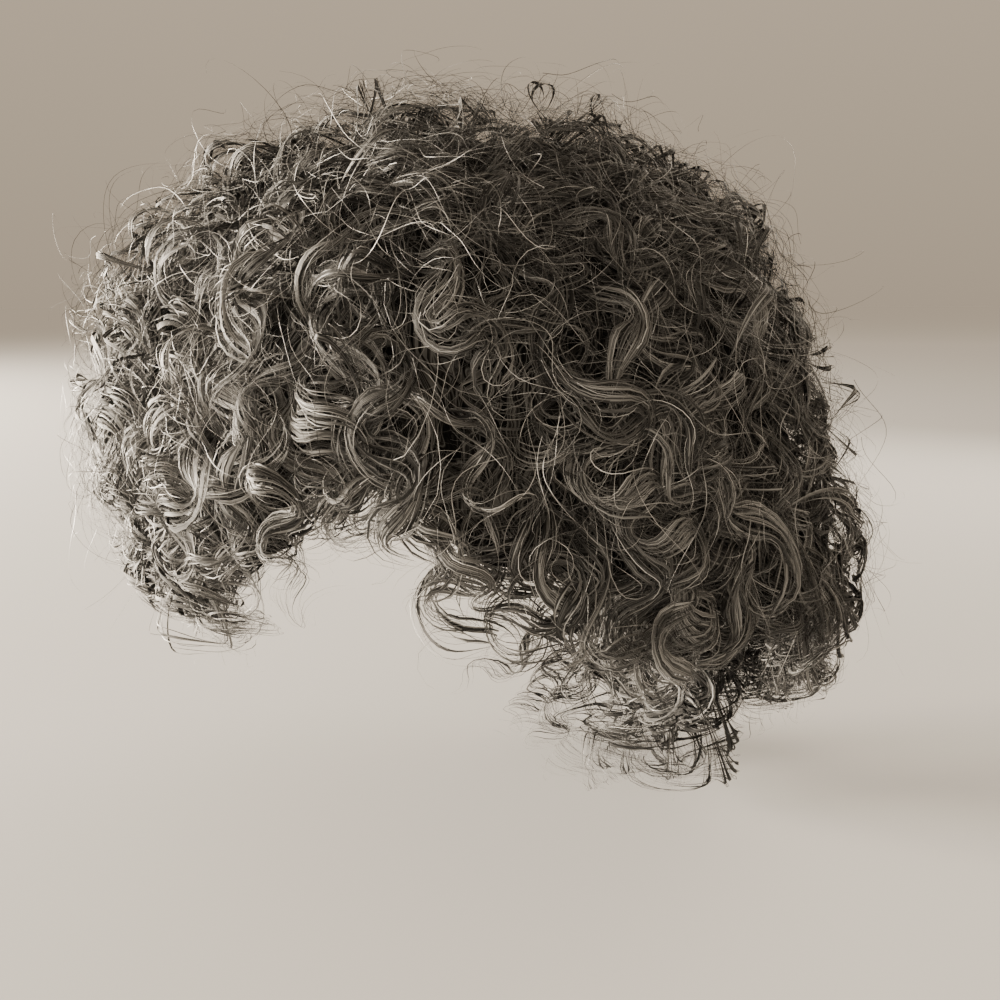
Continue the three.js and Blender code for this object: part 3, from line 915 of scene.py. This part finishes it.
def cloth_material(name):
    """Dark stretch cloth: faint rows round the cap, a fine knit, and a ribbed binding at its
    edge, which lies half way along the map. Its colour is painted darker in the hollows of this
    relief, as shade."""
    material, nodes, links, shader = node_material(name, CLOTH_ROUGHNESS)
    place = piece_map(nodes)
    split = nodes.new("ShaderNodeSeparateXYZ")
    links.new(place, split.inputs["Vector"])

    def waves(value, rate):
        return math_node(nodes, links, "SINE", math_node(nodes, links, "MULTIPLY", value, rate))

    rows = waves(split.outputs["Y"], CLOTH_ROWS)
    ribs = waves(split.outputs["X"], BINDING_RIBS)
    past_edge = math_node(nodes, links, "SUBTRACT", split.outputs["Y"], 0.5)
    from_edge = math_node(nodes, links, "ABSOLUTE", past_edge)
    bound = mapped_range(nodes, links, from_edge, BINDING_SHARE, BINDING_END, 1, 0)
    relief = nodes.new("ShaderNodeMix")
    links.new(bound, relief.inputs["Factor"])
    links.new(rows, relief.inputs["A"])
    links.new(ribs, relief.inputs["B"])
    stretch = nodes.new("ShaderNodeMapping")
    stretch.inputs["Scale"].default_value = (*KNIT, 1)
    links.new(place, stretch.inputs["Vector"])
    knit = nodes.new("ShaderNodeTexVoronoi")
    knit.voronoi_dimensions = "2D"
    knit.inputs["Scale"].default_value = 1
    links.new(stretch.outputs["Vector"], knit.inputs["Vector"])
    height = math_node(nodes, links, "ADD", relief.outputs["Result"], knit.outputs["Distance"])
    bump = nodes.new("ShaderNodeBump")
    bump.inputs["Strength"].default_value = 0.7
    bump.inputs["Distance"].default_value = CLOTH_RELIEF * MM
    links.new(height, bump.inputs["Height"])
    links.new(bump.outputs["Normal"], shader.inputs["Normal"])
    # painted shade: the cloth darker in the hollows of its relief
    colour = nodes.new("ShaderNodeValToRGB")
    colour.color_ramp.elements[0].color = CLOTH_HOLLOW_SHADE
    colour.color_ramp.elements[1].color = CLOTH_HIGH
    links.new(mapped_range(nodes, links, height, *CLOTH_HEIGHTS, 0, 1), colour.inputs["Fac"])
    links.new(colour.outputs["Color"], shader.inputs["Base Color"])
    return material


# Pieces

HAIR = hair_material("grey_hair", STREAKS, HAIR_SPECULAR)
groups = {}
grow_locks(groups)
for name, ribbons in groups.items():
    piece = ribbons.build(name + "_strands", HAIR)
    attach(piece, "root")
    if name != "nape":
        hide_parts(name + "_curls")
web = Ribbons()
grow_loose(web, **WEB)
loose = Ribbons()
grow_loose(loose, **FRIZZ)
grow_loose(loose, **FLYAWAYS)
lining = Ribbons()
line_underside(lining, LINING_STRANDS, LINING_STRAND_HALF_WIDTH, strands=True)
line_underside(lining, LINING_HAIRS, HAIR_HALF_WIDTH, strands=False)
for name, ribbons in (("web_hairs", web), ("loose_hairs", loose), ("inner_hairs", lining)):
    piece = ribbons.build(name, HAIR)
    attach(piece, "root")
# the under-hair, painted near black as shade
under = under_hair(hair_material("under_hair", UNDER_STREAKS, 0, tone=UNDER_SHADE_TONE))
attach(under, "root")
cap = cap_shell(cloth_material("cap_cloth"))
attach(cap, "root")
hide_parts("cap")


# Floor, light and camera

FLOOR_Z = -280
FLOOR_HALF = 40000
FLOOR_PAINTED_SHADES = [0.55, 0.95]  # painted shade: darker near the wig, as the shade about it, and paler far from it, to meet the sky
FLOOR_SPREAD = [0.5, 7.0]  # metres
FLOOR_ROUGHNESS = 0.9
CAMERA_AZIMUTH = 68
CAMERA_PITCH = 9.5
CAMERA_DISTANCE = 0.62  # metres, as the next two are
CAMERA_OFFSET = 0.012
CAMERA_HEIGHT = -0.018
CAMERA_LENS = 43.2
CAMERA_SENSOR = 36

# Soft lamps: place to the right of the wig as the camera sees it, towards the camera and up, how far
# beyond the wig they point, width and height, all in metres, power in watts, and colour.
WARM = (1.0, 0.87, 0.7)
WARMER = (1.0, 0.85, 0.65)
LAMPS = [
    dict(name="key", place=(-4, -0.8, 0.15), beyond=0.9, size=(3.0, 0.6), power=3000, colour=WARM),
    dict(name="front", place=(-1.8, 1.9, 0.6), beyond=0, size=(1.5, 1.2), power=60, colour=WARM),
    dict(name="fill", place=(1.5, 2.2, 0.5), beyond=0, size=(1.5, 1.2), power=30, colour=WARMER),
    dict(name="back", place=(1.0, -1.1, 0.8), beyond=0, size=(1.2, 0.9), power=18, colour=WARM),
]
LIT = Vector((0, 0, -0.1))

# A soft sky, about as bright at the horizon as the far floor below it
SKY = [(0.0, 0.46), (0.25, 0.57), (1.0, 0.42)]  # height and strength
SKY_COLOUR = (1.0, 0.81, 0.6)

paper, nodes, links, shader = node_material("pale_floor", FLOOR_ROUGHNESS)
place = nodes.new("ShaderNodeTexCoord")
away = nodes.new("ShaderNodeVectorMath")
away.operation = "LENGTH"
links.new(place.outputs["Object"], away.inputs[0])
# the floor's colour painted darker near the wig as shade, and paler far off
far = mapped_range(nodes, links, away.outputs["Value"], *FLOOR_SPREAD, 0, 1)
pale = nodes.new("ShaderNodeValToRGB")
for element, shade in zip(pale.color_ramp.elements, FLOOR_PAINTED_SHADES):
    element.color = (shade, shade, shade, 1)
links.new(far, pale.inputs["Fac"])
links.new(pale.outputs["Color"], shader.inputs["Base Color"])
shader.inputs["Specular IOR Level"].default_value = 0
corners = np.array([[-1, -1, 0], [1, -1, 0], [1, 1, 0], [-1, 1, 0]]) * FLOOR_HALF
floor = mesh_object("floor", corners + [0, 0, FLOOR_Z], np.array([[0, 1, 2, 3]]), paper)

a, e = math.radians(CAMERA_AZIMUTH), math.radians(CAMERA_PITCH)
right = Vector((math.cos(a), math.sin(a), 0))
nearer = Vector((math.sin(a), -math.cos(a), 0))
lens = bpy.data.cameras.new("camera")
lens.lens = CAMERA_LENS
lens.sensor_width = CAMERA_SENSOR
camera = bpy.data.objects.new("camera", lens)
camera.location = nearer * CAMERA_DISTANCE + right * CAMERA_OFFSET + Vector((0, 0, CAMERA_HEIGHT))
camera.rotation_mode = "QUATERNION"
looking = -nearer * math.cos(e) - Vector((0, 0, math.sin(e)))
camera.rotation_quaternion = looking.to_track_quat("-Z", "Y")
bpy.context.scene.collection.objects.link(camera)
bpy.context.scene.camera = camera


def lamp(name, place, beyond, size, power, colour):
    light = bpy.data.lights.new(name, "AREA")
    light.shape = "RECTANGLE"
    light.size, light.size_y = size
    light.energy = power
    light.color = colour
    holder = bpy.data.objects.new(name, light)
    holder.location = LIT + right * place[0] + nearer * place[1] + Vector((0, 0, place[2]))
    holder.rotation_mode = "QUATERNION"
    aim = LIT - nearer * beyond - holder.location
    holder.rotation_quaternion = aim.to_track_quat("-Z", "Y")
    bpy.context.scene.collection.objects.link(holder)


for measures in LAMPS:
    lamp(**measures)

world = bpy.data.worlds.new("studio")
bpy.context.scene.world = world
world.use_nodes = True
nodes, links = world.node_tree.nodes, world.node_tree.links
place = nodes.new("ShaderNodeTexCoord")
split = nodes.new("ShaderNodeSeparateXYZ")
links.new(place.outputs["Generated"], split.inputs["Vector"])
ramp = nodes.new("ShaderNodeValToRGB")
for k, (at, strength) in enumerate(SKY):
    element = ramp.color_ramp.elements[k] if k < 2 else ramp.color_ramp.elements.new(at)
    element.position = at
    element.color = (*(strength * part for part in SKY_COLOUR), 1)
links.new(split.outputs["Z"], ramp.inputs["Fac"])
links.new(ramp.outputs["Color"], nodes["Background"].inputs["Color"])
nodes["Background"].inputs["Strength"].default_value = 1
